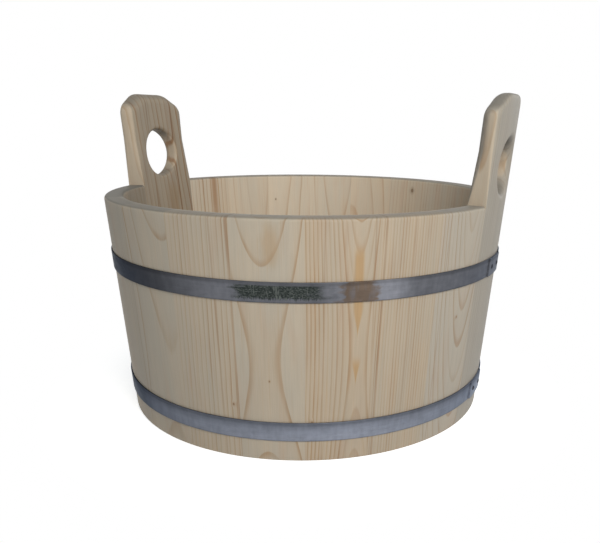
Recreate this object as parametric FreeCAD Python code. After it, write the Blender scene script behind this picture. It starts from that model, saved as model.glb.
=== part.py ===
import FreeCAD, Part
import math
import os

# Sauna bucket: a low tub of tapered wooden staves, wider at the rim than at the base.
# Two opposite staves are taller and wider and have a hand hole each. Two riveted steel
# hoops hold the staves, and a boarded bottom sits in a groove near their lower ends.
# Millimetres. The origin is the centre of the base, +Z is up, and the handles stand on X.

os.makedirs("parts", exist_ok=True)

Vector = FreeCAD.Vector
UP = Vector(0, 0, 1)
ORIGIN = Vector(0, 0, 0)

# Driving sizes of the tub
rim_radius = 200.0          # outside, at the top of the plain staves
base_radius = 180.5         # outside, at the lower ends
body_height = 210.0         # floor to rim
stave_thickness = 18.0      # square to the face of the stave
staves_each_side = 9        # plain staves between one handle and the other
rim_rounding = 3.0
foot_rounding = 1.5

# Driving sizes of the handle staves
handle_rise = 96.5          # rim to the flat top of the handle
handle_width = 90.8         # across the stave at the rim, round its outside
top_flat_width = 44.0
shoulder_drop = 14.5        # from the flat top down to where the sloping shoulder ends
shoulder_rounding = 15.0
top_corner_rounding = 25.0
grip_outer_rounding = 4.5   # long edges, on the outside
grip_inner_rounding = 11.5  # long edges, on the inside, where the fingers close
blend_height = 47.0         # the edge roundings fade out over this height above the rim
blend_rounding = 0.4        # what is left of them at the rim
hand_hole_radius = 25.0
hand_hole_outer_rounding = 6.5
hand_hole_inner_rounding = 4.0
hand_hole_margin = 0.5      # wood left between the rim and the rounded outer edge of the hole

# Driving sizes of the bottom
groove_height = 18.0        # underside of the bottom above the floor
groove_depth = 5.0
bottom_thickness = 15.0
board_count = 4
tongue_reach = 5.0
tongue_share = 1.0 / 3.0    # of the thickness of a board

# Driving sizes of the hoops and their rivets
hoop_width = 17.2
hoop_thickness = 1.2
hoop_edge_rounding = 0.4
lower_hoop_rise = 28.0      # middle of each hoop above the floor
upper_hoop_rise = 150.7
lap_start = -5.9            # degrees round from +X, where the outer end of the strip lies
lap_length = 36.0
ramp_length = 7.0           # where the strip steps up on to its own other end
rivet_inset = 8.0           # rivet centre from each end of the lap
rivet_radius = 1.4
rivet_head_radius = 2.2
rivet_head_height = 0.7

# Everything below follows from the sizes above.
slope = (rim_radius - base_radius) / body_height
lean = math.atan(slope)
wall = stave_thickness / math.cos(lean)
strip = hoop_thickness / math.cos(lean)
handle_angle = math.degrees(handle_width / rim_radius)
stave_angle = (180.0 - handle_angle) / staves_each_side
outward = Vector(math.cos(lean), 0, -math.sin(lean))
groove_top = groove_height + bottom_thickness
handle_height = body_height + handle_rise
hand_hole_height = body_height + hand_hole_margin + hand_hole_outer_rounding + hand_hole_radius


def outer_radius(z):
    return base_radius + slope * z


def inner_radius(z):
    return outer_radius(z) - wall


def rounded_face(corners):
    # Face in the XZ plane through (x, z, rounding) corners.
    turns = []
    for i in range(len(corners)):
        x, z, rounding = corners[i]
        before = corners[i - 1]
        after = corners[(i + 1) % len(corners)]
        here = Vector(x, 0, z)
        back = (Vector(before[0], 0, before[1]) - here).normalize()
        ahead = (Vector(after[0], 0, after[1]) - here).normalize()
        half = back.getAngle(ahead) / 2.0
        reach = rounding / math.tan(half)
        bow = rounding / math.sin(half) - rounding
        middle = here + (back + ahead).normalize() * bow
        turns.append((here + back * reach, middle, here + ahead * reach, rounding))
    edges = []
    for i in range(len(turns)):
        start, middle, stop, rounding = turns[i]
        if rounding > 0:
            edges.append(Part.Arc(start, middle, stop).toShape())
        edges.append(Part.makeLine(stop, turns[(i + 1) % len(turns)][0]))
    return Part.Face(Part.Wire(edges))


def turned(face, start_angle, angle):
    # Solid swept by the face about Z, from start_angle on, in degrees.
    placed = face.copy()
    placed.rotate(ORIGIN, UP, start_angle)
    return placed.revolve(ORIGIN, UP, angle)


def wall_face(low, high, low_rounding, high_rounding):
    # Plain piece of the wall between two heights.
    return rounded_face([
        (outer_radius(low), low, low_rounding),
        (outer_radius(high), high, high_rounding),
        (inner_radius(high), high, high_rounding),
        (inner_radius(low), low, low_rounding),
    ])


def grooved_face(top_rounding):
    # Cross-section of the wall from the floor to the rim, with the groove for the bottom.
    return rounded_face([
        (outer_radius(0), 0, foot_rounding),
        (outer_radius(body_height), body_height, top_rounding),
        (inner_radius(body_height), body_height, top_rounding),
        (inner_radius(groove_top), groove_top, 0),
        (inner_radius(groove_top) + groove_depth, groove_top, 0),
        (inner_radius(groove_height) + groove_depth, groove_height, 0),
        (inner_radius(groove_height), groove_height, 0),
        (inner_radius(0), 0, foot_rounding),
    ])


def edges_on(shape, radius_at, low, high):
    # Edges whose middle lies on the cone of radius_at, between two heights.
    found = []
    for edge in shape.Edges:
        middle = edge.valueAt((edge.FirstParameter + edge.LastParameter) / 2.0)
        away = math.hypot(middle.x, middle.y) - radius_at(middle.z)
        if abs(away) < 0.05 and low < middle.z < high:
            found.append(edge)
    return found


def crosses_wall(edge):
    # True for an edge that runs from the outside of the wall to its inside.
    ends = [vertex.Point for vertex in edge.Vertexes]
    out = [abs(math.hypot(p.x, p.y) - outer_radius(p.z)) < 0.05 for p in ends]
    inn = [abs(math.hypot(p.x, p.y) - inner_radius(p.z)) < 0.05 for p in ends]
    return any(out) and any(inn)


def face_at(shape, height):
    # The flat face of a solid that lies at one height.
    for face in shape.Faces:
        box = face.BoundBox
        if abs(box.ZMin - height) < 1e-4 and abs(box.ZMax - height) < 1e-4:
            return face
    raise ValueError("no face at this height")


# Plain staves: one section swept round, then copied
plain = turned(grooved_face(rim_rounding), 0.0, stave_angle)
pieces = {}
for side in range(2):
    for step in range(staves_each_side):
        stave = plain.copy()
        turn = 180.0 * side + handle_angle / 2.0 + stave_angle * step
        stave.rotate(ORIGIN, UP, turn)
        number = side * staves_each_side + step + 1
        pieces["stave_%02d" % number] = stave


# Handle stave: the same wall below the rim and a shaped grip above it
def grip_solid():
    low = body_height + blend_height
    block = turned(wall_face(low, handle_height, 0, 0), -handle_angle / 2.0, handle_angle)
    shoulder_z = handle_height - shoulder_drop
    side_y = outer_radius(shoulder_z) * math.sin(math.radians(handle_angle / 2.0))
    for sign in (1, -1):
        inside = Vector(0, sign * top_flat_width / 2.0, handle_height)
        outside = Vector(0, sign * side_y, shoulder_z)
        along = outside - inside
        first = inside - along
        last = outside + along
        above = Vector(0, last.y, first.z)
        wedge = Part.Face(Part.makePolygon([first, last, above, first]))
        block = block.cut(wedge.extrude(Vector(rim_radius * 2.0, 0, 0)))
    top_edge = handle_height - 0.01
    shoulders = []
    for edge in block.Edges:
        box = edge.BoundBox
        if crosses_wall(edge) and box.ZMin > low + 0.01 and box.ZMax < top_edge:
            shoulders.append(edge)
    block = block.makeFillet(shoulder_rounding, shoulders)
    tops = []
    for edge in block.Edges:
        if crosses_wall(edge) and edge.BoundBox.ZMin > top_edge:
            tops.append(edge)
    block = block.makeFillet(top_corner_rounding, tops)
    above_low = low + 0.5
    outline = edges_on(block, outer_radius, above_low, handle_height + 1.0)
    block = block.makeFillet(grip_outer_rounding, outline)
    outline = edges_on(block, inner_radius, above_low, handle_height + 1.0)
    return block.makeFillet(grip_inner_rounding, outline)


def blend_solid(grip):
    # Between the rim, where the corners are nearly sharp, and the rounded grip.
    low = body_height
    high = body_height + blend_height
    block = turned(wall_face(low, high, 0, 0), -handle_angle / 2.0, handle_angle)
    corners = []
    for edge in block.Edges:
        start, stop = edge.Vertexes[0].Point, edge.Vertexes[-1].Point
        if abs(start.z - stop.z) > 0.5 * blend_height:
            corners.append(edge)
    block = block.makeFillet(blend_rounding, corners)
    lower_wire = face_at(block, low).OuterWire
    upper_wire = face_at(grip, high).OuterWire
    return Part.makeLoft([lower_wire, upper_wire], True, True)


def hole_rim(body, centre, outside):
    # Edges of the hand hole's wall on the outer or the inner face of the stave.
    middle_depth = -stave_thickness / 2.0
    rim = []
    for edge in body.Edges:
        middle = edge.valueAt((edge.FirstParameter + edge.LastParameter) / 2.0)
        start = edge.Vertexes[0].Point
        on_wall = []
        for point in (middle, start):
            offset = point - centre
            along = offset.dot(outward)
            on_wall.append(abs((offset - outward * along).Length - hand_hole_radius) < 0.01)
        if all(on_wall) and not isinstance(edge.Curve, Part.Line):
            if ((middle - centre).dot(outward) > middle_depth) == outside:
                rim.append(edge)
    return rim


def handle_stave():
    foot = turned(grooved_face(0), -handle_angle / 2.0, handle_angle)
    grip = grip_solid()
    body = foot.fuse([blend_solid(grip), grip])
    centre = Vector(outer_radius(hand_hole_height), 0, hand_hole_height)
    reach = 3.0 * stave_thickness
    drill = Part.makeCylinder(hand_hole_radius, 2.0 * reach, centre - outward * reach, outward)
    body = body.cut(drill)
    body = body.makeFillet(hand_hole_outer_rounding, hole_rim(body, centre, True))
    return body.makeFillet(hand_hole_inner_rounding, hole_rim(body, centre, False))


right = handle_stave()
left = right.copy()
left.rotate(ORIGIN, UP, 180.0)
pieces["handle_stave_right"] = right
pieces["handle_stave_left"] = left


# Bottom: a disc that fills the groove, divided into tongued boards that run along X
disc_face = rounded_face([
    (0, groove_height, 0),
    (inner_radius(groove_height) + groove_depth, groove_height, 0),
    (inner_radius(groove_top) + groove_depth, groove_top, 0),
    (0, groove_top, 0),
])
disc = disc_face.revolve(ORIGIN, UP, 360.0)
disc_radius = inner_radius(groove_top) + groove_depth
board_width = 2.0 * disc_radius / board_count
tongue_height = bottom_thickness * tongue_share
tongue_low = groove_height + (bottom_thickness - tongue_height) / 2.0


def long_box(y, width, low, height):
    corner = Vector(-rim_radius, y, low)
    return Part.makeBox(2.0 * rim_radius, width, height, corner)


for number in range(board_count):
    near = -disc_radius + board_width * number
    slab = long_box(near, board_width, groove_height, bottom_thickness)
    if number < board_count - 1:
        slab = slab.fuse(long_box(near + board_width, tongue_reach, tongue_low, tongue_height))
    if number > 0:
        slab = slab.cut(long_box(near, tongue_reach, tongue_low, tongue_height))
    pieces["bottom_board_%d" % (number + 1)] = disc.common(slab)


# Hoops: a strip bent round the tub, its outer end riveted over the other one
def strip_face(low, high, inside, outside, rounding):
    return rounded_face([
        (outer_radius(low) + inside, low, 0),
        (outer_radius(low) + outside, low, rounding),
        (outer_radius(high) + outside, high, rounding),
        (outer_radius(high) + inside, high, 0),
    ])


def wall_core(extra):
    # Everything inside the tub's outer cone, grown by extra.
    return Part.makeCone(base_radius + extra, rim_radius + extra, body_height)


def hoop_and_rivets(rise):
    half = hoop_width * math.cos(lean) / 2.0
    low = rise - half
    high = rise + half
    radius = outer_radius(rise)
    lap_angle = math.degrees(lap_length / radius)
    ramp_angle = math.degrees(ramp_length / radius)
    ring = turned(strip_face(low, high, 0, strip, hoop_edge_rounding), 0.0, 360.0)
    lap_face = strip_face(low, high, strip, 2.0 * strip, hoop_edge_rounding)
    lap = turned(lap_face, lap_start, lap_angle)
    foot = strip_face(low, high, 0.3 * strip, 0.97 * strip, hoop_edge_rounding)
    ramp_high = lap_face.OuterWire.copy()
    ramp_high.rotate(ORIGIN, UP, lap_start + lap_angle)
    ramp_low = foot.OuterWire.copy()
    ramp_low.rotate(ORIGIN, UP, lap_start + lap_angle + ramp_angle)
    ramp = Part.makeLoft([ramp_high, ramp_low], True, True)
    hoop = ring.fuse([lap, ramp])
    ball_radius = (rivet_head_radius ** 2 + rivet_head_height ** 2) / (2.0 * rivet_head_height)
    inset = math.degrees(rivet_inset / radius)
    rivets = []
    for angle in (lap_start + inset, lap_start + lap_angle - inset):
        under_head = Vector(radius + 2.0 * strip, 0, rise)
        ball_centre = under_head + outward * (rivet_head_height - ball_radius)
        ball = Part.makeSphere(ball_radius, ball_centre)
        head = ball.cut(wall_core(2.0 * strip))
        drill = Part.makeCylinder(rivet_radius, 4.0 * hoop_thickness,
                                  under_head - outward * 3.5 * hoop_thickness, outward)
        shank = drill.common(wall_core(2.0 * strip)).cut(wall_core(0))
        rivet = head.fuse(shank)
        rivet.rotate(ORIGIN, UP, angle)
        drill.rotate(ORIGIN, UP, angle)
        hoop = hoop.cut(drill)
        rivets.append(rivet)
    return hoop, rivets


lower_hoop, lower_rivets = hoop_and_rivets(lower_hoop_rise)
upper_hoop, upper_rivets = hoop_and_rivets(upper_hoop_rise)
pieces["hoop_lower"] = lower_hoop
pieces["hoop_upper"] = upper_hoop
pieces["hoop_rivets"] = Part.makeCompound(lower_rivets + upper_rivets)

for name, shape in pieces.items():
    solids = shape.Solids
    print(name, len(solids), "solid", "valid" if shape.isValid() else "NOT VALID",
          "volume", round(shape.Volume / 1000.0, 2), "cm3")
    whole = solids[0] if len(solids) == 1 else Part.makeCompound(solids)
    whole.exportStep("parts/%s.step" % name)
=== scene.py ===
# %% [markdown]
# # A coopered sauna bucket
# This lesson dresses a finished CAD model of a small wooden tub. The CAD model is the fixed
# frame: every piece made here stands exactly where the frame says. Plain staves, hoops and
# rivets are made again with Geometry Nodes, because each follows a simple rule, and the wood
# and the zinc-coated steel are procedural materials.

# %% Load the frame
import bpy
import bmesh
import math
from random import Random
from mathutils import Euler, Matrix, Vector


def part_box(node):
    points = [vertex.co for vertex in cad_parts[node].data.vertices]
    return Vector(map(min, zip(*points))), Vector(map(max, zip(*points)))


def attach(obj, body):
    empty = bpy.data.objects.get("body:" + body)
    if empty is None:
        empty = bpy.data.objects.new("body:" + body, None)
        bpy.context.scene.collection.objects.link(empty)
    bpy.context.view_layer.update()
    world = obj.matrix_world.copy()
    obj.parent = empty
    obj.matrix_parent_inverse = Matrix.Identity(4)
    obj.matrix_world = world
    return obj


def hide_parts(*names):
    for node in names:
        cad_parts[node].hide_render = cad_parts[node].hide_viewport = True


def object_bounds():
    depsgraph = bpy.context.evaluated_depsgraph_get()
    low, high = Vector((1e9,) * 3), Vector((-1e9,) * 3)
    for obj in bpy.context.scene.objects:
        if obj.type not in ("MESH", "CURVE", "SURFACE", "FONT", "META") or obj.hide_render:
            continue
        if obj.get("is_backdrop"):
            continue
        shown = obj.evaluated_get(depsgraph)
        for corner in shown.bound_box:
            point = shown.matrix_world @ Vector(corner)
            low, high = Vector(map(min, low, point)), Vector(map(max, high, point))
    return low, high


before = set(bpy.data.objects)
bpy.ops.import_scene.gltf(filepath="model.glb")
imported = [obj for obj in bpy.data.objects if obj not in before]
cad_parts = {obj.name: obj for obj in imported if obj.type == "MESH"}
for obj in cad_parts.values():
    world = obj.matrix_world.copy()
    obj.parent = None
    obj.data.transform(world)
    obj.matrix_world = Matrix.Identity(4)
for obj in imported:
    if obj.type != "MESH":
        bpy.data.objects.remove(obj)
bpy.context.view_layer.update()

# %% [markdown]
# ## The sizes of the tub
# A cooper needs few numbers: two radii, a height and the thickness of the wood. They are the
# same values as in the CAD source, in metres, and the frame's box of the upper hoop is printed
# beside them. The angles of the staves follow from them, so nothing else has to be measured.

# %% Sizes in metres
rim_radius = 0.2000
base_radius = 0.1805
body_height = 0.2100
stave_thickness = 0.0180
handle_width = 0.0908
staves_each_side = 9
groove_height, groove_top, groove_depth = 0.0180, 0.0330, 0.0050
hoop_width, hoop_thickness = 0.0172, 0.0012
hoop_rises = {"hoop_lower": 0.0280, "hoop_upper": 0.1507}
lap_length, ramp_length, rivet_inset = 0.0360, 0.0070, 0.0080
lap_start = math.radians(-5.9)

slope = (rim_radius - base_radius) / body_height
lean = math.atan(slope)
wall = stave_thickness / math.cos(lean)
strip = hoop_thickness / math.cos(lean)
handle_angle = handle_width / rim_radius
stave_angle = (math.pi - handle_angle) / staves_each_side


def outer_radius(height):
    return base_radius + slope * height


hoop_low, hoop_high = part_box("hoop_upper")
print("hoop in the frame: from", round(hoop_low.z, 4), "to", round(hoop_high.z, 4))
print("one stave takes", round(math.degrees(stave_angle), 2), "degrees")

# %% [markdown]
# ## The camera
# The photograph was taken from a little above the rim, slightly right of the middle between
# the handles. Its place was found by fitting the tub's known circles to their outlines in the
# photograph, so it is given as a distance, a height and three small turns, not by eye.

# %% Camera
camera_azimuth = 0.4623  # radians round the tub, from the side of -Y
camera_distance = 0.7059  # from the tub's axis, level
camera_height = 0.2842
camera_pitch = 0.2235  # looking down
camera_yaw = -0.0557  # turned a little to the right
camera_roll = -0.0113
picture_width = 600.0  # in pixels, like the next two
focal_length = 678.62
centre_column = 344.9  # the lens looked here: the picture was cropped

camera = bpy.data.objects.new("camera", bpy.data.cameras.new("camera"))
bpy.context.scene.collection.objects.link(camera)
camera.data.sensor_width = 36.0
camera.data.lens = focal_length / picture_width * camera.data.sensor_width
camera.location = (camera_distance * math.sin(camera_azimuth),
                   -camera_distance * math.cos(camera_azimuth), camera_height)
turned = Euler((math.pi / 2 - camera_pitch, 0.0, camera_azimuth + camera_yaw)).to_matrix()
rolled = Euler((0.0, 0.0, -camera_roll)).to_matrix()
camera.rotation_euler = (turned @ rolled).to_euler()
camera.data.shift_x = (picture_width / 2 - centre_column) / picture_width
bpy.context.scene.camera = camera
bpy.context.scene.view_settings.view_transform = "Standard"
print("lens", round(camera.data.lens, 2), "mm at", tuple(round(c, 4) for c in camera.location))

# %% [markdown]
# ## Small helpers for node trees
# Shader trees and geometry trees are built the same way: make a node, set it, join its
# sockets. A few helpers keep each recipe below readable. A value given to them is either a
# plain number or the socket of another node.


# %% Helpers for every tree
def join(tree, value, socket):
    if isinstance(value, bpy.types.NodeSocket):
        tree.links.new(value, socket)
    elif value is not None:
        socket.default_value = value


def node(tree, kind, inputs=None, **settings):
    made = tree.nodes.new(kind)
    for name, value in settings.items():
        setattr(made, name, value)
    for name, value in (inputs or {}).items():
        join(tree, value, made.inputs[name])
    return made


def maths(tree, operation, *values, clamp=False):
    made = node(tree, "ShaderNodeMath", operation=operation, use_clamp=clamp)
    for value, socket in zip(values, made.inputs):
        join(tree, value, socket)
    return made.outputs[0]


def plus(tree, first, second, clamp=False):
    return maths(tree, "ADD", first, second, clamp=clamp)


def minus(tree, first, second):
    return maths(tree, "SUBTRACT", first, second)


def times(tree, first, second, clamp=False):
    return maths(tree, "MULTIPLY", first, second, clamp=clamp)


def vector_maths(tree, operation, *values):
    made = node(tree, "ShaderNodeVectorMath", operation=operation)
    for value, socket in zip(values, made.inputs):
        join(tree, value, socket)
    return made.outputs["Value" if operation in ("LENGTH", "DOT_PRODUCT") else "Vector"]


def between(tree, value, low, high, to_low=0.0, to_high=1.0):
    """A soft step: to_low where value is under low, to_high where it is over high."""
    made = node(tree, "ShaderNodeMapRange", interpolation_type="SMOOTHSTEP")
    for number, socket in zip((value, low, high, to_low, to_high), made.inputs):
        join(tree, number, socket)
    return made.outputs[0]


def xyz(tree, x=0.0, y=0.0, z=0.0):
    return node(tree, "ShaderNodeCombineXYZ", {"X": x, "Y": y, "Z": z}).outputs[0]


def apart(tree, vector):
    """The three parts of a vector, by the names X, Y and Z."""
    return node(tree, "ShaderNodeSeparateXYZ", {"Vector": vector}).outputs


def group_tree(name, kind, inputs, outputs):
    """An empty node group. Each input comes with its first value, or else with its kind."""
    tree = bpy.data.node_groups.new(name, kind)
    for label, value in inputs.items():
        if isinstance(value, str):
            socket = value
        elif isinstance(value, float):
            socket = "Float"
        else:
            socket = "Vector" if len(value) == 3 else "Color"
        made = tree.interface.new_socket(label, in_out="INPUT", socket_type="NodeSocket" + socket)
        if socket != value:
            made.default_value = value
    for label, socket in outputs.items():
        tree.interface.new_socket(label, in_out="OUTPUT", socket_type="NodeSocket" + socket)
    return tree, node(tree, "NodeGroupInput").outputs, node(tree, "NodeGroupOutput").inputs


print("helpers are ready")

# %% [markdown]
# ## Light and floor
# The photograph shows the tub on pure white, lit softly from the front and a little from the
# right, so its left side falls into shade. One large area lamp does that, a weak one far round
# on the right draws the edge there, and the world fills the rest, cooler and a little stronger
# from the right. The white ground is only what the camera and the steel see, so the lamps stay
# at a plain level. The floor keeps a faint shadow of the tub and fades into the white further out.


# %% World
def sees_ground(tree):
    """1 for the rays that see the white ground: from the camera, through glass and off metal."""
    path = node(tree, "ShaderNodeLightPath").outputs
    seen = maths(tree, "MAXIMUM", path["Is Camera Ray"], path["Is Transmission Ray"])
    return maths(tree, "MAXIMUM", seen, path["Is Glossy Ray"])


fill_left, fill_right = 0.195, 0.43
sky_blue = (0.80, 0.92, 1.0, 1.0)
world = bpy.data.worlds.new("studio")
bpy.context.scene.world = world
world.use_nodes = True
tree = world.node_tree
tree.nodes.clear()
way = node(tree, "ShaderNodeTexCoord").outputs["Generated"]
to_right = (math.cos(camera_azimuth), math.sin(camera_azimuth), 0.0)
rightness = vector_maths(tree, "DOT_PRODUCT", way, to_right)
strength = between(tree, rightness, -0.9, 0.9, fill_left, fill_right)
fill = node(tree, "ShaderNodeBackground", {"Color": sky_blue, "Strength": strength})
white = node(tree, "ShaderNodeBackground", {"Color": (1.0, 1.0, 1.0, 1.0), "Strength": 1.0})
both = node(tree, "ShaderNodeMixShader", {0: sees_ground(tree), 1: fill.outputs[0], 2: white.outputs[0]})
node(tree, "ShaderNodeOutputWorld", {"Surface": both.outputs[0]})
print("world:", world.name, "with fill from", fill_left, "on the left to", fill_right, "on the right")

# %% Lamps
aim_height = 0.13


def area_lamp(name, azimuth, elevation, distance, size, power, colour):
    """A square soft box that faces the tub. Azimuth is measured from the camera, to the right."""
    lamp = bpy.data.lights.new(name, "AREA")
    lamp.size, lamp.energy, lamp.color = size, power, colour
    holder = bpy.data.objects.new(name, lamp)
    bpy.context.scene.collection.objects.link(holder)
    turn = camera_azimuth + math.radians(azimuth)
    rise = math.radians(elevation)
    toward = Vector((math.sin(turn) * math.cos(rise), -math.cos(turn) * math.cos(rise), math.sin(rise)))
    holder.location = toward * distance + Vector((0.0, 0.0, aim_height))
    holder.rotation_euler = toward.to_track_quat("Z", "Y").to_euler()


area_lamp("key_lamp", 13.0, 33.0, 1.5, 0.7, 13.0, (1.0, 0.95, 0.865))
area_lamp("edge_lamp", 128.0, 14.0, 1.6, 0.6, 1.8, (0.80, 0.90, 1.0))


# %% Floor
def new_material(name):
    """A material with an empty tree."""
    material = bpy.data.materials.new(name)
    material.use_nodes = True
    material.node_tree.nodes.clear()
    return material, material.node_tree


floor_radius = 3.0
fade_from, fade_to = 0.183, 0.28  # from the tub's axis: the shadow ends here
floor = bpy.data.objects.new("floor", bpy.data.meshes.new("floor"))
bpy.context.scene.collection.objects.link(floor)
disc = bmesh.new()
bmesh.ops.create_circle(disc, cap_ends=True, segments=96, radius=floor_radius)
disc.to_mesh(floor.data)
disc.free()
floor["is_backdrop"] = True
floor_paint, tree = new_material("pale floor")
away = vector_maths(tree, "LENGTH", node(tree, "ShaderNodeTexCoord").outputs["Object"])
seen = sees_ground(tree)
paper = node(tree, "ShaderNodeBsdfDiffuse", {"Color": (0.86, 0.86, 0.86, 1.0)})
lift = node(tree, "ShaderNodeEmission", {"Strength": times(tree, seen, 0.68)})
near = node(tree, "ShaderNodeAddShader", {0: paper.outputs[0], 1: lift.outputs[0]})
glow = node(tree, "ShaderNodeEmission", {"Strength": 1.0})
fade = times(tree, between(tree, away, fade_from, fade_to), seen)
mixed = node(tree, "ShaderNodeMixShader", {0: fade, 1: near.outputs[0], 2: glow.outputs[0]})
node(tree, "ShaderNodeOutputMaterial", {"Surface": mixed.outputs[0]})
floor.data.materials.append(floor_paint)
print("floor:", floor_radius, "m in radius, pure white beyond", fade_to)

# %% [markdown]
# ## The plain staves
# A stave is a short length of the tub's wall: a leaning board with a rounded top, a rounded
# foot and a groove that holds the bottom. The tree below lays eight corner points in the plane
# of the section, rounds them, and draws the outline out along a straight line, where one metre
# stands for one radian. Then it bends that bar round the tub, so that both ends of the stave
# point exactly at the axis and neighbours close up tight. All eighteen come from the one rule.

# %% Tree for a stave: its section
stave_tree, given, result = group_tree("plain stave", "GeometryNodeTree", {
    "Start angle": 0.0, "Sweep angle": 0.3, "Base radius": 0.18, "Rim radius": 0.2, "Wall": 0.018,
    "Height": 0.21, "Rim rounding": 0.003, "Foot rounding": 0.0015, "Groove low": 0.018,
    "Groove high": 0.033, "Groove depth": 0.005, "Material": "Material",
}, {"Mesh": "Geometry"})
tree = stave_tree
crisp = 0.0002  # rounding of the groove's corners
stave_steps, corner_steps = 14, 5  # points along the arc and in each rounding


def section_corner(height, inward):
    """A corner of the section: its radius less the base radius, and minus its height."""
    share = maths(tree, "DIVIDE", height, given["Height"])
    spread = minus(tree, given["Rim radius"], given["Base radius"])
    return xyz(tree, minus(tree, times(tree, share, spread), inward), times(tree, height, -1.0))


in_groove = minus(tree, given["Wall"], given["Groove depth"])
corners = [
    section_corner(given["Height"], 0.0), section_corner(0.0, 0.0),
    section_corner(0.0, given["Wall"]), section_corner(given["Groove low"], given["Wall"]),
    section_corner(given["Groove low"], in_groove), section_corner(given["Groove high"], in_groove),
    section_corner(given["Groove high"], given["Wall"]), section_corner(given["Height"], given["Wall"]),
]
roundings = [given["Rim rounding"], given["Foot rounding"], given["Foot rounding"],
             crisp, crisp, crisp, crisp, given["Rim rounding"]]


def by_index(tree, kind, values):
    """Gives the first point the first value, the second point the second, and so on."""
    made = node(tree, "GeometryNodeIndexSwitch", data_type=kind)
    while len(made.index_switch_items) < len(values):
        made.index_switch_items.new()
    join(tree, node(tree, "GeometryNodeInputIndex").outputs[0], made.inputs["Index"])
    for number, value in enumerate(values):
        join(tree, value, made.inputs[str(number)])
    return made.outputs[0]


dots = node(tree, "GeometryNodePoints", {"Count": len(corners),
                                         "Position": by_index(tree, "VECTOR", corners)})
line = node(tree, "GeometryNodePointsToCurves", {"Points": dots.outputs[0]})
ring = node(tree, "GeometryNodeSetSplineCyclic", {"Geometry": line.outputs[0], "Cyclic": True})
section = node(tree, "GeometryNodeFilletCurve", {"Curve": ring.outputs[0], "Limit Radius": True,
                                                 "Count": corner_steps,
                                                 "Radius": by_index(tree, "FLOAT", roundings)},
               mode="POLY")
print("stave section:", len(corners), "corners")


# %% Tree for a stave: sweep and bend
def round_tub(tree, radius, angle, height):
    """The point at this angle and this far from the tub's axis."""
    return xyz(tree, times(tree, radius, maths(tree, "COSINE", angle)),
               times(tree, radius, maths(tree, "SINE", angle)), height)


def sweep(tree, path, section):
    """Draws a section out along a path, upright all the way."""
    upright = node(tree, "GeometryNodeSetCurveNormal", {"Curve": path}, mode="Z_UP")
    return node(tree, "GeometryNodeCurveToMesh", {"Curve": upright.outputs[0], "Profile Curve": section,
                                                  "Fill Caps": True}).outputs[0]


def end_tree(tree, geometry, given, result):
    """The last two nodes of each piece: real geometry, with its material."""
    real = node(tree, "GeometryNodeRealizeInstances", {"Geometry": geometry})
    dressed = node(tree, "GeometryNodeSetMaterial", {"Geometry": real.outputs[0],
                                                     "Material": given["Material"]})
    join(tree, dressed.outputs[0], result["Mesh"])


sweep_end = xyz(tree, 0.0, given["Sweep angle"])
straight = node(tree, "GeometryNodeCurvePrimitiveLine", {"End": sweep_end}, mode="POINTS")
steps = node(tree, "GeometryNodeResampleCurve", {"Curve": straight.outputs[0], "Count": stave_steps})
bar = sweep(tree, steps.outputs[0], section.outputs[0])
here = apart(tree, node(tree, "GeometryNodeInputPosition").outputs[0])
radius = plus(tree, here["X"], given["Base radius"])
angle = plus(tree, here["Y"], given["Start angle"])
bent = node(tree, "GeometryNodeSetPosition", {"Geometry": bar,
                                              "Position": round_tub(tree, radius, angle, here["Z"])})
end_tree(tree, bent.outputs[0], given, result)
print("stave tree:", len(tree.nodes), "nodes")

# %% [markdown]
# ## Sawn pine
# Pine shows its yearly rings as brown lines. They are cones round the heart of the tree, and a
# board cuts through them: near the heart they show as nested tongues, far from it as straight
# stripes, and on the end of the board as arcs. A picture pasted on a face gets none of this
# right at the edges, so the group below works out, for each point of the solid board, how far
# it lies from the heart line. Each board gets its own heart, ring width and tint.
#
# The board's place comes in millimetres: x out of its face, y across it and z up it.

# %% Colours of pine
early_wood = (0.444, 0.396, 0.330, 1.0)  # wood of spring and summer, at its palest
warm_wood = (0.492, 0.412, 0.320, 1.0)  # the same in a warmer board
blush_wood = (0.452, 0.358, 0.278, 1.0)  # a faint pink here and there
late_tint = (0.710, 0.510, 0.340, 1.0)  # multiplies the wood's colour in the brown lines
tan_wood = (0.455, 0.300, 0.160, 1.0)
strong_brown = (0.310, 0.190, 0.112, 1.0)
resin_brown = (0.395, 0.275, 0.165, 1.0)
sheen_grey = (0.470, 0.438, 0.392, 1.0)
knot_rim = (0.360, 0.230, 0.130, 1.0)
knot_heart = (0.200, 0.115, 0.060, 1.0)
end_dirt_and_shade = (0.150, 0.145, 0.130, 1.0)
print("a brown line keeps", late_tint[:3], "of the wood's red, green and blue")


# %% Helpers for colour and noise
def colour_mix(tree, factor, first, second, blend="MIX"):
    made = node(tree, "ShaderNodeMix", data_type="RGBA", blend_type=blend)
    for value, socket in ((factor, 0), (first, 6), (second, 7)):
        join(tree, value, made.inputs[socket])
    return made.outputs[2]


def shaded(tree, colour, shade):
    """The colour made lighter or darker by a number that varies over the surface."""
    grey = node(tree, "ShaderNodeCombineColor", {0: shade, 1: shade, 2: shade}).outputs[0]
    return colour_mix(tree, 1.0, colour, grey, "MULTIPLY")


def noise(tree, vector, stretch, detail=2.0, roughness=0.5, output="Fac"):
    """Soft noise, with blobs of the given sizes along x, y and z."""
    shape = vector_maths(tree, "DIVIDE", vector, stretch)
    made = node(tree, "ShaderNodeTexNoise", {"Vector": shape, "Scale": 1.0, "Detail": detail,
                                             "Roughness": roughness})
    return made.outputs[output]


print("colour helpers are ready")

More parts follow.
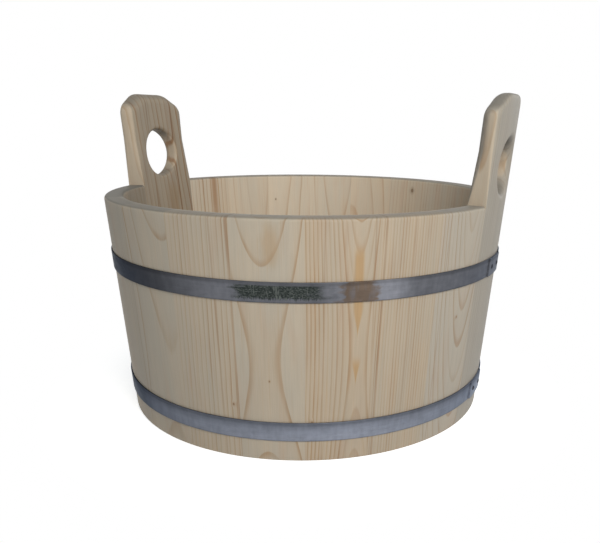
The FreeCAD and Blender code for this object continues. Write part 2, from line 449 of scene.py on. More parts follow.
# %% Group for sawn pine: its inputs
board_middle = 105.0  # drift and tilt are counted from this height
nowhere = 999.0  # a mark that a board doesn't have stays out here
no_tongue, no_stripe, no_spot = (0.0, nowhere, nowhere), (nowhere, 1.0, 0.0), (0.0, nowhere, 1.0)
pine, given, result = group_tree("sawn pine", "ShaderNodeTree", {
    "Place": (0.0, 0.0, 0.0), "Heart across": 0.0, "Heart depth": 30.0, "Heart drift": 0.0,
    "Heart tilt": 0.0, "Heart bow": 0.0, "Bow height": board_middle, "Ring width": 4.0, "Ring shift": 0.0,
    "Line width": 1.1, "Waver": 1.0, "Grain": 1.0, "Seed": 0.0, "Tone": 0.0, "Warmth": 0.3,
    "Fresh inside": 0.64, "Fresh sides": 0.0, "Side from": 0.80, "Greyed": 0.0, "End grime": 0.56,
    "Tongue depth": 0.8, "Tongue": no_tongue, "Second tongue": no_tongue, "Stripe": no_stripe,
    "Second stripe": no_stripe, "Knot": no_spot, "Smudge": no_spot,
}, {"Colour": "Color", "Roughness": "Float", "Normal": "Vector"})
tree = pine
place = apart(tree, given["Place"])

# Each board reads another part of the noise
seed_step = 173.0  # in millimetres
moved_by = times(tree, given["Seed"], seed_step)
shifted = vector_maths(tree, "ADD", given["Place"], xyz(tree, moved_by, moved_by, moved_by))
print("pine inputs:", len(given) - 1)

# %% Sawn pine: the heart line
# It drifts across the board, tilts behind its face and bows
up = minus(tree, place["Z"], board_middle)
bow_up = minus(tree, place["Z"], given["Bow height"])
bowed = times(tree, times(tree, bow_up, bow_up), given["Heart bow"])
depth = maths(tree, "MULTIPLY_ADD", up, given["Heart tilt"], given["Heart depth"])
depth = minus(tree, depth, bowed)
beside = maths(tree, "MULTIPLY_ADD", up, given["Heart drift"], given["Heart across"])

# Growth is uneven, so the rings waver: long gentle swings, and small ones that follow the grain
swing = noise(tree, shifted, (42.0, 42.0, 150.0), 1.0, output="Color")
swing = vector_maths(tree, "SUBTRACT", swing, (0.5, 0.5, 0.5))
ripple = noise(tree, shifted, (9.0, 9.0, 34.0), output="Color")
ripple = vector_maths(tree, "SUBTRACT", ripple, (0.5, 0.5, 0.5))
swing = vector_maths(tree, "MULTIPLY_ADD", ripple, (0.22, 0.22, 0.22), swing)
full_swing = 6.0
most_waver = times(tree, given["Waver"], full_swing)
swung = node(tree, "ShaderNodeVectorMath", {0: swing, "Scale": most_waver}, operation="SCALE")
push = apart(tree, swung.outputs[0])

off_across = plus(tree, minus(tree, place["Y"], beside), push["Y"])
push_deep = times(tree, push["X"], 0.25)
off_deep = plus(tree, plus(tree, place["X"], depth), push_deep)
ring_distance = vector_maths(tree, "LENGTH", xyz(tree, off_across, off_deep))
print("heart line:", len(tree.nodes), "nodes so far")


# %% Sawn pine: how a knot bends the rings
def spot_distance(spot, squeeze):
    """Distance from a spot in units of its radius. Spot holds across, up and radius."""
    put = apart(tree, spot)
    side = minus(tree, place["Y"], put["X"])
    rise = times(tree, minus(tree, place["Z"], put["Y"]), squeeze)
    return maths(tree, "DIVIDE", vector_maths(tree, "LENGTH", xyz(tree, side, rise)), put["Z"])


knot_near = spot_distance(given["Knot"], 0.75)
bend = between(tree, knot_near, 0.5, 5.0, 1.0, 0.0)
ring_distance = maths(tree, "MULTIPLY_ADD", bend, 0.9, ring_distance)
print("with the knot:", len(tree.nodes), "nodes")

# %% Sawn pine: the yearly rings
# The number of the ring and the place within it. Late wood, the brown line, closes each year
years = plus(tree, maths(tree, "DIVIDE", ring_distance, given["Ring width"]), given["Ring shift"])
year = maths(tree, "FLOOR", years)
season = maths(tree, "FRACT", years)
to_winter = times(tree, minus(tree, 1.0, season), given["Ring width"])
line_start = times(tree, given["Line width"], 0.15)
line = times(tree, between(tree, to_winter, 0.0, 0.28),
             between(tree, to_winter, line_start, given["Line width"], 1.0, 0.0))
soft = between(tree, to_winter, 0.2, times(tree, given["Line width"], 3.2), 1.0, 0.0)

# Some years are stronger than others, and a ring fades and comes back along the board
chance = node(tree, "ShaderNodeTexWhiteNoise", {"Vector": xyz(tree, year, given["Seed"], 3.0)})
ring_weight = maths(tree, "MULTIPLY_ADD", chance.outputs["Value"], 0.65, 0.45)
patchy = between(tree, noise(tree, shifted, (16.0, 16.0, 90.0)), 0.30, 0.68, 0.50, 1.15)
late = maths(tree, "MULTIPLY_ADD", soft, 0.20, times(tree, line, 0.70))
late = times(tree, late, times(tree, ring_weight, patchy))
late = times(tree, late, given["Grain"], clamp=True)

# The narrow faces of a board are made lighter and plainer than its wide ones
facing = apart(tree, node(tree, "ShaderNodeTexCoord").outputs["Normal"])
side_full = plus(tree, given["Side from"], 0.17)
narrow = between(tree, maths(tree, "ABSOLUTE", facing["Y"]), given["Side from"], side_full)
fresh = times(tree, narrow, given["Fresh sides"])
late = times(tree, late, maths(tree, "MULTIPLY_ADD", fresh, -1.0, 1.0, clamp=True))
print("with the rings:", len(tree.nodes), "nodes")

# %% Sawn pine: fibres and tint
fibre = noise(tree, shifted, (0.42, 0.42, 26.0), 3.0, 0.6)
streak = noise(tree, shifted, (1.7, 1.7, 95.0), roughness=0.6)
cloud = noise(tree, shifted, (30.0, 22.0, 120.0))
blush = noise(tree, shifted, (11.0, 11.0, 70.0))
warm = plus(tree, given["Warmth"], between(tree, cloud, 0.3, 0.7, -0.3, 0.3), clamp=True)
pale = colour_mix(tree, warm, early_wood, warm_wood)
pale = colour_mix(tree, between(tree, blush, 0.52, 0.75, 0.0, 0.50), pale, blush_wood)
brown = colour_mix(tree, 1.0, pale, late_tint, "MULTIPLY")
wood = colour_mix(tree, late, pale, brown)
wood = colour_mix(tree, between(tree, streak, 0.52, 0.72, 0.0, 0.20), wood, brown)
print("with fibres and tint:", len(tree.nodes), "nodes")

# %% Sawn pine: tongues, stripes and smudges
tongue_rise, tip_half, most_half = 26.0, 0.3, 4.6  # a tongue grows this wide over this height


def tongue(spot):
    """A tongue of tan wood where the saw just touched a ring. Spot holds across, tip and top."""
    put = apart(tree, spot)
    side = plus(tree, minus(tree, place["Y"], put["X"]), push["Y"])
    grown = between(tree, place["Z"], put["Y"], plus(tree, put["Y"], tongue_rise), tip_half, most_half)
    edge = maths(tree, "DIVIDE", maths(tree, "ABSOLUTE", side), grown)
    inside = between(tree, edge, 0.45, 1.15, 1.0, 0.0)
    tip_low, tip_high = minus(tree, put["Y"], 3.0), plus(tree, put["Y"], 5.0)
    above = between(tree, place["Z"], tip_low, tip_high)
    below = between(tree, place["Z"], minus(tree, put["Z"], 14.0), put["Z"], 1.0, 0.0)
    return times(tree, inside, times(tree, above, below))


def stripe(spot):
    """One strong ring that runs the length of the board. Spot holds across, width and strength."""
    put = apart(tree, spot)
    waver = times(tree, push["Y"], 0.8)
    side = plus(tree, minus(tree, place["Y"], put["X"]), waver)
    inside = between(tree, maths(tree, "DIVIDE", maths(tree, "ABSOLUTE", side), put["Y"]), 0.2, 1.0, 1.0, 0.0)
    return times(tree, inside, times(tree, put["Z"], patchy))


# A smudge is resin-brown wood with a ragged edge, twice as tall as it is wide
ragged = between(tree, noise(tree, shifted, (6.0, 6.0, 16.0), 1.0), 0.25, 0.75, -0.14, 0.14)
smudge = plus(tree, spot_distance(given["Smudge"], 0.5), ragged)
wood = colour_mix(tree, between(tree, smudge, 0.35, 1.15, 0.55, 0.0), wood, resin_brown)
tongues = maths(tree, "MAXIMUM", tongue(given["Tongue"]), tongue(given["Second tongue"]))
wood = colour_mix(tree, times(tree, tongues, given["Tongue depth"]), wood, tan_wood)
stripes = maths(tree, "MAXIMUM", stripe(given["Stripe"]), stripe(given["Second stripe"]), clamp=True)
wood = colour_mix(tree, stripes, wood, strong_brown)
print("with the marks:", len(tree.nodes), "nodes")

# %% Sawn pine: shade, knots and ends
# Painted sheen greys the wide faces, as light reflected at a grazing view would, and painted light makes the
# inside of the tub lighter
wide = times(tree, given["Greyed"], minus(tree, 1.0, narrow))
wood = colour_mix(tree, wide, wood, sheen_grey)
shade = plus(tree, between(tree, fibre, 0.25, 0.75, -0.045, 0.045), given["Tone"])
shade = plus(tree, shade, between(tree, streak, 0.25, 0.75, -0.045, 0.040))
# Painted light: the inner face is made lighter, and where the value is negative, painted shade makes it
# darker
inside = between(tree, place["X"], -17.0, -11.0, 1.0, 0.0)
shade = plus(tree, shade, maths(tree, "MULTIPLY_ADD", inside, given["Fresh inside"], 1.0))
wood = shaded(tree, wood, plus(tree, shade, fresh))
wood = colour_mix(tree, between(tree, knot_near, 1.0, 2.6, 0.35, 0.0), wood, knot_rim)
wood = colour_mix(tree, between(tree, knot_near, 0.75, 1.1, 0.65, 0.0), wood, knot_heart)

# Cut ends look darker than the faces: partly the end grain's own darker colour, partly painted shade on the
# rim top
end_grain = between(tree, maths(tree, "ABSOLUTE", facing["Z"]), 0.40, 0.85)
wood = colour_mix(tree, times(tree, end_grain, given["End grime"]), wood, end_dirt_and_shade)
join(tree, wood, result["Colour"])

# Planed softwood: fibres and hard late wood stand a few hundredths of a millimetre proud
join(tree, minus(tree, 0.56, times(tree, late, 0.12)), result["Roughness"])
height = plus(tree, times(tree, fibre, 0.5), times(tree, late, 0.5))
height = plus(tree, height, times(tree, streak, 0.35))
bump = node(tree, "ShaderNodeBump", {"Strength": 0.55, "Distance": 0.00010, "Height": height})
join(tree, bump.outputs[0], result["Normal"])
print("pine group:", len(tree.nodes), "nodes")

# %% [markdown]
# ## Pine for one board
# The group wants to know where a point lies in its own board. Two Mapping nodes tell it: the
# first turns the board's face to +X and counts in millimetres, the second stands a leaning
# board upright. So one group serves staves, handles and the boards of the bottom.


# %% A board's own material
def dress(tree, group, facts, looks):
    """Gives a piece's own facts to a group, and the colours that it finds to a surface."""
    found = node(tree, "ShaderNodeGroup", facts, node_tree=group).outputs
    answers = {"Base Color": found["Colour"], "Roughness": found["Roughness"], "Normal": found["Normal"]}
    surface = node(tree, "ShaderNodeBsdfPrincipled", dict(answers, **looks))
    node(tree, "ShaderNodeOutputMaterial", {"Surface": surface.outputs[0]})


to_mm = 1000.0


def pine_board(name, grain, turn, location=(0.0, 0.0, 0.0), foot=0.0, tilt=0.0):
    """Pine for one board. Foot is how far out it stands, and tilt how far it leans."""
    material, tree = new_material(name)
    place = node(tree, "ShaderNodeTexCoord").outputs["Object"]
    front = node(tree, "ShaderNodeMapping", {"Vector": place, "Location": location, "Rotation": turn,
                                             "Scale": (to_mm, to_mm, to_mm)})
    back = (-to_mm * foot * math.cos(tilt), 0.0, -to_mm * foot * math.sin(tilt))
    stood = node(tree, "ShaderNodeMapping", {"Vector": front.outputs[0], "Location": back,
                                             "Rotation": (0.0, -tilt, 0.0)})
    dress(tree, pine, dict(grain, Place=stood.outputs[0]), {"IOR": 1.48, "Specular IOR Level": 0.12})
    return material


def standing_board(name, angle, grain):
    """Pine for a board of the wall, whose middle stands at this angle."""
    return pine_board(name, grain, (0.0, 0.0, -angle), foot=base_radius, tilt=lean)


def lying_board(name, middle, grain):
    """Pine for a board that lies flat with its length on X and the middle of its width at y."""
    return pine_board(name, grain, (0.0, math.pi / 2, 0.0),
                      (-to_mm * groove_top, -to_mm * middle, board_middle))


print("a stave leans", round(math.degrees(lean), 2), "degrees")

# %% [markdown]
# ## Each stave's own grain
# The front staves follow the photograph: where their tongues, stripes, knots and the orange
# flame lie was read off it, and turned into the place of each board's heart. The staves that
# the photograph hides take hearts from a seeded draw, within the same range.


# %% Grain of the staves that show
def grain_of(across, depth, ring, line, waver, grain, **more):
    """The heart line, ring width, line width and grain of a board, and its other facts by name."""
    facts = {"Heart across": across, "Heart depth": depth, "Ring width": ring, "Line width": line,
             "Waver": waver, "Grain": grain}
    facts.update({name.replace("_", " ").capitalize(): value for name, value in more.items()})
    return facts


stave_grain = {
    13: grain_of(13.1, 57.2, 9.0, 1.3, 0.40, 0.85, heart_drift=0.063, heart_bow=0.00056, bow_height=60.0,
                 ring_shift=0.746, tone=0.04, warmth=0.2, end_grime=0.72),
    14: grain_of(-100.0, 10.0, 4.4, 1.5, 0.40, 0.85, heart_drift=0.02, tone=0.05, warmth=0.35,
                 knot=(22.3, 50.0, 0.9), stripe=(13.0, 1.3, 0.55), second_stripe=(27.6, 2.0, 0.60),
                 end_grime=0.60),
    15: grain_of(-3.5, 31.8, 11.5, 2.0, 0.35, 0.75, heart_bow=0.00139, bow_height=90.0, ring_shift=0.043,
                 knot=(-1.0, 74.0, 0.6), tone=0.07, warmth=0.25, smudge=(3.0, 189.0, 9.5)),
    16: grain_of(13.8, 16.2, 2.9, 1.5, 0.30, 0.85, heart_bow=0.00056, bow_height=95.0, ring_shift=0.983,
                 knot=(-21.6, 37.0, 0.8), warmth=0.9, tone=0.03, tongue=(13.8, 113.0, 192.0),
                 second_tongue=(13.6, 70.0, 98.0), tongue_depth=0.9, stripe=(-13.4, 0.9, 0.40),
                 second_stripe=(26.5, 1.0, 0.35)),
    17: grain_of(-90.0, 5.0, 2.7, 1.4, 0.3, 0.80, tone=0.02, warmth=0.7, stripe=(-24.0, 1.1, 0.80),
                 second_stripe=(2.0, 0.9, 0.35)),
    # On stave 18 the grey on the face is painted sheen
    18: grain_of(9.5, 23.7, 3.5, 1.3, 0.25, 1.30, heart_tilt=-0.10, ring_shift=0.71, tone=0.03, warmth=0.2,
                 knot=(2.9, 115.0, 0.8), stripe=(-20.0, 0.9, 0.60), greyed=0.35),
    # Higher values for the cut ends paint more shade on the rim top, strongest on staves 12 to 10 at the
    # left; there the negative values for the inside paint the shade inside near the left handle
    12: grain_of(75.0, 20.0, 3.8, 1.3, 0.4, 0.7, heart_drift=0.02, warmth=0.2, end_grime=0.75),
    11: grain_of(-80.0, 15.0, 4.2, 1.3, 0.5, 0.7, warmth=1.0, end_grime=0.85, fresh_inside=-0.22),
    10: grain_of(6.0, 40.0, 4.8, 1.3, 0.5, 0.7, heart_tilt=0.05, warmth=1.0, end_grime=0.85,
                 fresh_inside=-0.34),
    9: grain_of(70.0, 20.0, 5.2, 2.0, 0.6, 0.9, warmth=0.7, stripe=(-7.0, 5.5, 0.75),
                second_stripe=(8.0, 1.6, 0.6), fresh_inside=0.40),
    8: grain_of(-12.0, 40.0, 7.0, 1.6, 0.6, 0.7, heart_tilt=-0.06, warmth=0.6, fresh_inside=0.50),
    7: grain_of(17.0, 46.0, 10.0, 1.8, 0.6, 0.75, heart_bow=0.0006, warmth=0.5, knot=(17.7, 179.0, 0.8)),
    6: grain_of(-9.0, 40.0, 11.0, 1.8, 0.8, 0.75, heart_bow=0.0009, warmth=0.3),
    5: grain_of(20.0, 50.0, 9.0, 1.8, 0.8, 0.70, heart_tilt=0.08, warmth=0.9),
    4: grain_of(80.0, 12.0, 4.6, 1.3, 0.5, 0.6, warmth=0.7, knot=(-5.4, 196.0, 1.9)),
}
print("staves that follow the photograph:", sorted(stave_grain))


# %% Grain of the hidden boards
def drawn_grain(number):
    """Heart, rings and tint of a board that the photograph doesn't show."""
    draw = Random(100 + number)
    grain = {"Ring width": draw.uniform(2.8, 5.0), "Waver": draw.uniform(0.3, 0.8),
             "Grain": draw.uniform(0.5, 0.75), "Tone": draw.uniform(-0.02, 0.05),
             "Line width": draw.uniform(1.0, 1.8), "Warmth": draw.uniform(0.1, 0.8)}
    if draw.random() < 0.45:
        grain.update({"Heart across": draw.uniform(-14, 14), "Heart depth": draw.uniform(16, 42),
                      "Heart tilt": draw.uniform(-0.1, 0.1)})
    else:
        grain.update({"Heart across": draw.choice((-1, 1)) * draw.uniform(60, 110),
                      "Heart depth": draw.uniform(0, 30), "Heart drift": draw.uniform(-0.04, 0.04)})
    if draw.random() < 0.3:
        grain["Knot"] = (draw.uniform(-20, 20), draw.uniform(30, 190), draw.uniform(0.8, 2.6))
    return grain


print("ring width of stave 1:", round(drawn_grain(1)["Ring width"], 2), "mm")

# %% [markdown]
# ## From tree to piece
# A live modifier would build a piece anew at each change. Here the tree runs once and its mesh
# is kept, because the finished part is plain geometry that any other program can read.


# %% From tree to piece
def piece_from_tree(name, tree, sizes, base=None):
    """Runs a geometry tree with its inputs set and keeps the plain mesh that comes out."""
    piece = bpy.data.objects.new(name, base or bpy.data.meshes.new(name))
    bpy.context.scene.collection.objects.link(piece)
    modifier = piece.modifiers.new("making", "NODES")
    modifier.node_group = tree
    for item in tree.interface.items_tree:
        if item.in_out == "INPUT" and item.name in sizes:
            modifier[item.identifier] = sizes[item.name]
    graph = bpy.context.evaluated_depsgraph_get()
    finished = bpy.data.meshes.new_from_object(piece.evaluated_get(graph), depsgraph=graph)
    piece.modifiers.clear()
    piece.data = finished
    finished.shade_smooth()
    finished.set_sharp_from_angle(angle=math.radians(35))
    return piece


def volume_of(piece):
    """Volume in cubic centimetres. It comes out negative where the faces look inward."""
    solid = bmesh.new()
    solid.from_mesh(piece.data)
    volume = solid.calc_volume(signed=True)
    solid.free()
    return round(volume * 1e6, 2)


print("stave_01 in the frame:", volume_of(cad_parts["stave_01"]), "cm3")

# %% Make the staves
most_inset = 0.00002  # no two staves are planed quite level
uneven = Random(7)
for number in range(1, 2 * staves_each_side + 1):
    side, step = divmod(number - 1, staves_each_side)
    start = math.pi * side + handle_angle / 2 + stave_angle * step
    grain = dict(stave_grain.get(number) or drawn_grain(number), Seed=float(number))
    wood = standing_board(f"pine_stave_{number:02d}", start + stave_angle / 2, grain)
    inset = uneven.uniform(0.0, most_inset)
    stave = piece_from_tree(f"stave_wood_{number:02d}", stave_tree, {
        "Start angle": start, "Sweep angle": stave_angle, "Base radius": base_radius - inset,
        "Rim radius": rim_radius - inset, "Wall": wall, "Height": body_height,
        "Groove low": groove_height, "Groove high": groove_top, "Groove depth": groove_depth,
        "Material": wood})
    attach(stave, "root")
    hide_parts(f"stave_{number:02d}")
print("stave:", len(stave.data.polygons), "faces,", volume_of(stave), "cm3, in the frame",
      volume_of(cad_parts[f"stave_{number:02d}"]))

# %% [markdown]
# ## Handle staves and bottom boards
# Their shapes are right in the frame: the handles have rounded grips and hand holes that took
# real fillets, and the boards are plain. They stay, and only get pine of their own. A handle
# stands at 0 or 180 degrees, and the boards lie flat, so their grain runs along X.

# %% Pine for the handles
# The grey on the handles' wide faces is painted sheen, the light that these faces reflect at a grazing view
handle_grain = {
    "handle_stave_right": grain_of(-70.0, 20.0, 4.6, 1.6, 0.5, 1.10, heart_drift=0.03, seed=31.0, tone=-0.15,
                                   warmth=0.8, fresh_inside=0.06, fresh_sides=0.34, greyed=0.65),
    "handle_stave_left": grain_of(-62.0, 30.0, 7.4, 2.4, 1.5, 0.95, heart_drift=0.06, seed=32.0, tone=-0.26,
                                  warmth=1.0, fresh_inside=0.07, fresh_sides=0.38, side_from=0.52,
                                  stripe=(-23.3, 1.5, 0.95), second_stripe=(17.4, 1.3, 0.75),
                                  smudge=(-13.0, 187.0, 13.0), end_grime=0.35),
}
for name, turn in (("handle_stave_right", 0.0), ("handle_stave_left", math.pi)):
    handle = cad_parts[name]
    handle.material_slots[0].material = standing_board("pine_" + name, turn, handle_grain[name])
    print(name, "wears", handle.material_slots[0].material.name)

# %% Pine for the bottom
for number in range(1, 5):
    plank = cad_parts[f"bottom_board_{number}"]
    low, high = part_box(f"bottom_board_{number}")
    grain = dict(drawn_grain(40 + number), **{"Seed": 40.0 + number, "End grime": 0.0})
    wood = lying_board(f"pine_bottom_{number}", (low.y + high.y) / 2, grain)
    plank.material_slots[0].material = wood
print("bottom boards reach from", round(low.x, 3), "to", round(high.x, 3))

# %% [markdown]
# ## The hoops
# A hoop is a flat strip of zinc-coated steel, bent round the tub until its ends lap, and
# riveted. The tree bends a straight line into that path: it starts on top of the lap, steps
# down on to its own other end and runs once round. The strip's section leans with the staves.
# A real strip is never perfectly even, so a little waviness lifts it off the wood in places.

# %% Tree for a hoop: its path
hoop_tree, given, result = group_tree("bent strip", "GeometryNodeTree", {
    "Radius": 0.19, "Rise": 0.1, "Width": 0.0172, "Thickness": 0.0012, "Layer": 0.0012, "Lean": 0.09,
    "Edge rounding": 0.0004, "Lap start": 0.0, "Lap angle": 0.2, "Ramp angle": 0.04, "Waviness": 0.0001,
    "Material": "Material",
}, {"Mesh": "Geometry"})
tree = hoop_tree
hoop_steps = 720  # points along the strip, about two for each degree
straight = node(tree, "GeometryNodeCurvePrimitiveLine", mode="POINTS")
points = node(tree, "GeometryNodeResampleCurve", {"Curve": straight.outputs[0], "Count": hoop_steps})
share = node(tree, "GeometryNodeSplineParameter").outputs["Factor"]
whole_turn = plus(tree, given["Lap angle"], 2 * math.pi)
run = times(tree, share, whole_turn)
angle = plus(tree, run, given["Lap start"])

# Its middle lies one layer and a half off the wood on top of the lap, and half a layer elsewhere
ramp_end = plus(tree, given["Lap angle"], given["Ramp angle"])
layer = between(tree, run, given["Lap angle"], ramp_end, 1.5, 0.5)
offset = times(tree, layer, given["Layer"])
circle = xyz(tree, maths(tree, "COSINE", angle), maths(tree, "SINE", angle),
             times(tree, given["Rise"], 50.0))
wave = node(tree, "ShaderNodeTexNoise", {"Vector": circle, "Scale": 3.2, "Detail": 2.0})
offset = plus(tree, offset, times(tree, wave.outputs["Fac"], given["Waviness"]))
radius = plus(tree, given["Radius"], offset)
spot = round_tub(tree, radius, angle, given["Rise"])
bent = node(tree, "GeometryNodeSetPosition", {"Geometry": points.outputs[0], "Position": spot})
print("path of a hoop:", len(tree.nodes), "nodes")

# %% Tree for a hoop: its strip
flat_bar = node(tree, "GeometryNodeCurvePrimitiveQuadrilateral", {"Width": given["Thickness"],
                                                                  "Height": given["Width"]})
rounded = node(tree, "GeometryNodeFilletCurve", {"Curve": flat_bar.outputs[0], "Limit Radius": True,
                                                 "Count": 3, "Radius": given["Edge rounding"]},
               mode="POLY")
leaning = node(tree, "GeometryNodeTransform", {"Geometry": rounded.outputs[0],
                                               "Rotation": xyz(tree, 0.0, 0.0, given["Lean"])})
end_tree(tree, sweep(tree, bent.outputs[0], leaning.outputs[0]), given, result)
print("hoop tree:", len(tree.nodes), "nodes")

# %% [markdown]
# ## Zinc-coated steel
# Hot zinc freezes on the strip as a spangle: flat crystals, each with its own grey. Rolling and
# bending leave long faint scratches, and handling dulls the coat in patches. The crystals are
# cells of Voronoi noise, and the scratches are noise stretched along the strip. Each hoop has a
# ramp that runs once round the tub and tells how light the coat looks: painted reflection of the
# room, with a painted highlight where it rises above 1. The upper hoop also has a brown stain and
# a mottled patch of painted dark reflection with pale spangle specks, each given by where it
# starts and ends.

# %% Group for zinc: its inputs and noises
stain_tint = (0.74, 0.53, 0.36, 1.0)
dark_reflection, pale_specks = (0.024, 0.030, 0.028, 1.0), (0.120, 0.133, 0.124, 1.0)
zinc, given, result = group_tree("zinc coat", "ShaderNodeTree", {
    "Place": (0.0, 0.0, 0.0), "Zinc": (0.205, 0.212, 0.240, 1.0), "Reflection_and_patina": 1.0, "Rise": 0.0, "Seed": 0.0,
    "Top shade": 1.0, "Mottle from": 0.0, "Mottle to": 0.0, "Mottle": 0.0, "Stain from": 0.0,
    "Stain to": 0.0, "Stain": 0.0,
}, {"Colour": "Color", "Roughness": "Float", "Normal": "Vector"})
tree = zinc
place = apart(tree, given["Place"])
round_angle = maths(tree, "DEGREES", maths(tree, "ARCTAN2", place["Y"], place["X"]))
above = minus(tree, place["Z"], given["Rise"])
seed_shift = xyz(tree, 0.0, 0.0, times(tree, given["Seed"], 3.0))
moved = vector_maths(tree, "ADD", given["Place"], seed_shift)
crystals_per_metre = 300.0
crystals = node(tree, "ShaderNodeTexVoronoi", {"Vector": moved, "Scale": crystals_per_metre})
crystal_grey = node(tree, "ShaderNodeSeparateColor", {"Color": crystals.outputs["Color"]}).outputs[0]
scratches = noise(tree, moved, (0.030, 0.030, 0.00035), 3.0)
blotches = noise(tree, moved, (0.012, 0.012, 0.005), 3.0)
wipes = noise(tree, moved, (0.0045, 0.0045, 0.020))
grit = noise(tree, moved, (0.0016, 0.0016, 0.0008), 3.0, 0.6)
drips = noise(tree, moved, (0.0011, 0.0011, 0.0060), roughness=0.6)
print("zinc inputs:", len(given) - 1)

# %% Zinc: the plain coat
# Faint crystals, long scratches and soft upright wipe marks; painted shade along the rounded top edge, a
# painted contact shadow along the bottom edge, and painted shade over the upper part where Top shade is under
# 1
grey = maths(tree, "MULTIPLY_ADD", crystal_grey, 0.07, 0.965)
grey = plus(tree, grey, between(tree, blotches, 0.3, 0.7, -0.09, 0.08))
grey = plus(tree, grey, between(tree, wipes, 0.3, 0.7, -0.06, 0.06))
grey = plus(tree, grey, between(tree, scratches, 0.3, 0.7, -0.05, 0.05))
grey = times(tree, grey, between(tree, above, 0.0042, 0.0070, 1.0, 0.70))
grey = times(tree, grey, between(tree, above, -0.0082, -0.0074, 0.75, 1.0))
grey = times(tree, grey, between(tree, above, -0.0010, 0.0055, 1.0, given["Top shade"]))
steel = shaded(tree, given["Zinc"], times(tree, grey, given["Reflection_and_patina"]))
print("plain coat:", len(tree.nodes), "nodes")

# %% Zinc: stain and mottled patch
ragged_angle = maths(tree, "MULTIPLY_ADD", blotches, 9.0, minus(tree, round_angle, 4.5))


def stretch(start, end, soft_start, soft_end):
    """1 on the strip between two angles in degrees, with ragged ends."""
    begun = between(tree, ragged_angle, start, plus(tree, start, soft_start))
    ended = between(tree, ragged_angle, minus(tree, end, soft_end), end, 1.0, 0.0)
    return times(tree, begun, ended)


# Brown stain
stain = stretch(given["Stain from"], given["Stain to"], 2.0, 2.0)
stain = times(tree, stain, given["Stain"])
stain = times(tree, stain, between(tree, wipes, 0.25, 0.60, 0.55, 1.0))
steel = colour_mix(tree, stain, steel, colour_mix(tree, 1.0, steel, stain_tint, "MULTIPLY"))

# Mottled patch: painted dark reflection on the coat, with pale spangle specks, pale wipes and drips along its
# lower edge
low_edge = maths(tree, "MULTIPLY_ADD", drips, 0.0075, minus(tree, above, 0.00375))
patch = stretch(given["Mottle from"], given["Mottle to"], 2.5, 7.0)
patch = times(tree, patch, between(tree, low_edge, -0.0068, -0.0040))
patch = times(tree, patch, between(tree, above, 0.0050, 0.0064, 1.0, 0.0))
patch = times(tree, patch, given["Mottle"])
specks = maths(tree, "MULTIPLY_ADD", scratches, 0.35, times(tree, grit, 0.65))
specks = between(tree, specks, 0.44, 0.70)
wiped = maths(tree, "MULTIPLY_ADD", drips, 0.5, times(tree, wipes, 0.5))
specks = maths(tree, "MAXIMUM", specks, between(tree, wiped, 0.54, 0.66, 0.0, 0.9))
steel = colour_mix(tree, patch, steel, colour_mix(tree, specks, dark_reflection, pale_specks))
join(tree, steel, result["Colour"])

# Blotches are duller, and stand up a little
join(tree, between(tree, blotches, 0.3, 0.7, 0.36, 0.48), result["Roughness"])
relief = maths(tree, "MULTIPLY_ADD", scratches, 0.4, times(tree, crystal_grey, 0.1))
relief = plus(tree, relief, blotches)
bump = node(tree, "ShaderNodeBump", {"Strength": 0.30, "Distance": 0.00012, "Height": relief})
join(tree, bump.outputs[0], result["Normal"])
print("zinc group:", len(tree.nodes), "nodes")


# %% A hoop's own material
def zinc_steel(name, reflection_and_patina, facts):
    """Zinc coat for one piece. The ramp lists how light it is at some angles round the tub, in degrees:
    painted reflection on the hoops, a plain dull grey on the rivets.
    """
    material, tree = new_material(name)
    place = node(tree, "ShaderNodeTexCoord").outputs["Object"]
    parts = apart(tree, place)
    turn = maths(tree, "ARCTAN2", parts["Y"], parts["X"])
    share = maths(tree, "MULTIPLY_ADD", turn, 0.5 / math.pi, 0.5)
    ramp = node(tree, "ShaderNodeValToRGB", {"Fac": share})
    stops = ramp.color_ramp.elements
    while len(stops) < len(reflection_and_patina):
        stops.new(1.0)
    for stop, (angle, lightness) in zip(stops, reflection_and_patina):
        stop.position = angle / 360.0 + 0.5
        stop.color = (lightness, lightness, lightness, 1.0)
    dress(tree, zinc, dict(facts, Place=place, Reflection_and_patina=ramp.outputs["Color"]),
          {"Metallic": 0.85, "Specular Tint": (0.35, 0.38, 0.43, 1.0)})
    return material


# These ramps are painted reflection: how light each hoop looks at angles round the tub, with painted
# highlights above 1
upper_reflection = ((-180, 0.25), (-124, 0.17), (-104, 0.24), (-86, 0.66), (-62, 0.60), (-56, 0.85),
                (-43, 1.25), (-37, 0.65), (-15, 0.62), (0, 0.95), (180, 0.25))
lower_reflection = ((-180, 0.45), (-121, 0.30), (-112, 0.56), (-75, 0.88), (-50, 1.05), (-35, 0.92),
                (-20, 0.92), (-10, 1.00), (0, 1.50), (180, 0.45))
hoop_coats = {
    "hoop_upper": zinc_steel("zinc_hoop_upper", upper_reflection, {
        "Rise": hoop_rises["hoop_upper"], "Seed": 1.0, "Mottle from": -81.5, "Mottle to": -57.0,
        "Mottle": 1.0, "Stain from": -57.0, "Stain to": -46.0, "Stain": 1.0}),
    "hoop_lower": zinc_steel("zinc_hoop_lower", lower_reflection, {
        "Zinc": (0.206, 0.224, 0.272, 1.0), "Rise": hoop_rises["hoop_lower"], "Seed": 2.0,
        "Top shade": 0.80}),
}
print("coats:", [coat.name for coat in hoop_coats.values()])

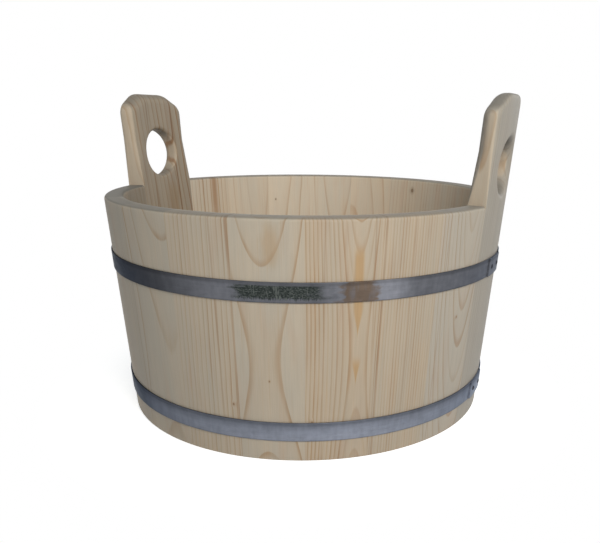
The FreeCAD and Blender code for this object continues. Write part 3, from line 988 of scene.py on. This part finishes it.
# %% Make the hoops
for name, rise in hoop_rises.items():
    radius = outer_radius(rise)
    hoop = piece_from_tree(name.replace("hoop", "hoop_strip"), hoop_tree, {
        "Radius": radius, "Rise": rise, "Width": hoop_width, "Thickness": hoop_thickness,
        "Layer": strip, "Lean": lean, "Lap start": lap_start, "Lap angle": lap_length / radius,
        "Ramp angle": ramp_length / radius, "Waviness": 0.00012, "Material": hoop_coats[name]})
    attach(hoop, "root")
    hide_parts(name)
    print(hoop.name, len(hoop.data.polygons), "faces,", volume_of(hoop), "cm3")

# %% [markdown]
# ## The rivets
# Two rivets hold each lap. A rivet head is a low dome with a small flat where the punch struck
# it. The tree turns the top of a short cylinder into that dome, and sets one on each point of a
# tiny mesh that holds nothing but the four places, facing out of the strip.

# %% Tree for the rivet heads
rivet_tree, given, result = group_tree("rivet heads", "GeometryNodeTree", {
    "Places": "Geometry", "Head radius": 0.0022, "Head height": 0.0007, "Set in": 0.0006,
    "Punch mark": 0.0002, "Lean": 0.09, "Material": "Material",
}, {"Mesh": "Geometry"})
tree = rivet_tree
stub = node(tree, "GeometryNodeMeshCylinder", {"Vertices": 24, "Side Segments": 1, "Fill Segments": 7,
                                               "Radius": given["Head radius"], "Depth": given["Set in"]})
here = apart(tree, node(tree, "GeometryNodeInputPosition").outputs[0])
from_middle = vector_maths(tree, "LENGTH", xyz(tree, here["X"], here["Y"]))
out_share = maths(tree, "DIVIDE", from_middle, given["Head radius"])
crown = minus(tree, 1.0, maths(tree, "POWER", out_share, 2.4))
crown = times(tree, crown, given["Head height"])
struck = times(tree, between(tree, out_share, 0.16, 0.34, 1.0, 0.0), given["Punch mark"])
crown = minus(tree, crown, struck)
top_only = maths(tree, "GREATER_THAN", here["Z"], 0.0)
lifted = xyz(tree, 0.0, 0.0, times(tree, crown, top_only))
domed = node(tree, "GeometryNodeSetPosition", {"Geometry": stub.outputs["Mesh"], "Offset": lifted})

# Out of the strip: level and away from the axis, then down by the lean
level = apart(tree, vector_maths(tree, "NORMALIZE", xyz(tree, here["X"], here["Y"])))
flat_share = maths(tree, "COSINE", given["Lean"])
out_way = xyz(tree, times(tree, level["X"], flat_share),
              times(tree, level["Y"], flat_share),
              times(tree, maths(tree, "SINE", given["Lean"]), -1.0))
turned_out = node(tree, "FunctionNodeAlignRotationToVector", {"Vector": out_way}, axis="Z")
copies = node(tree, "GeometryNodeInstanceOnPoints", {
    "Points": given["Places"], "Instance": domed.outputs[0], "Rotation": turned_out.outputs[0]})
end_tree(tree, copies.outputs[0], given, result)
print("rivet tree:", len(tree.nodes), "nodes")

# %% Make the rivets
places = []
for rise in hoop_rises.values():
    radius = outer_radius(rise)
    for reach in (rivet_inset, lap_length - rivet_inset):
        turn = lap_start + reach / radius
        out = radius + 2 * strip
        places.append((out * math.cos(turn), out * math.sin(turn), rise))
dots = bpy.data.meshes.new("rivet_places")
dots.from_pydata(places, [], [])
rivet_steel = zinc_steel("rivet_steel_dull", ((-180, 0.38), (180, 0.38)), {"Rise": 0.09, "Seed": 5.0})
rivets = piece_from_tree("rivet_heads", rivet_tree, {"Lean": lean, "Material": rivet_steel}, base=dots)
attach(rivets, "root")
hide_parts("hoop_rivets")
print("rivets:", len(rivets.data.polygons), "faces")

# %% Sizes and finish
low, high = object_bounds()
print("visual box", [round(c, 4) for c in low], [round(c, 4) for c in high])
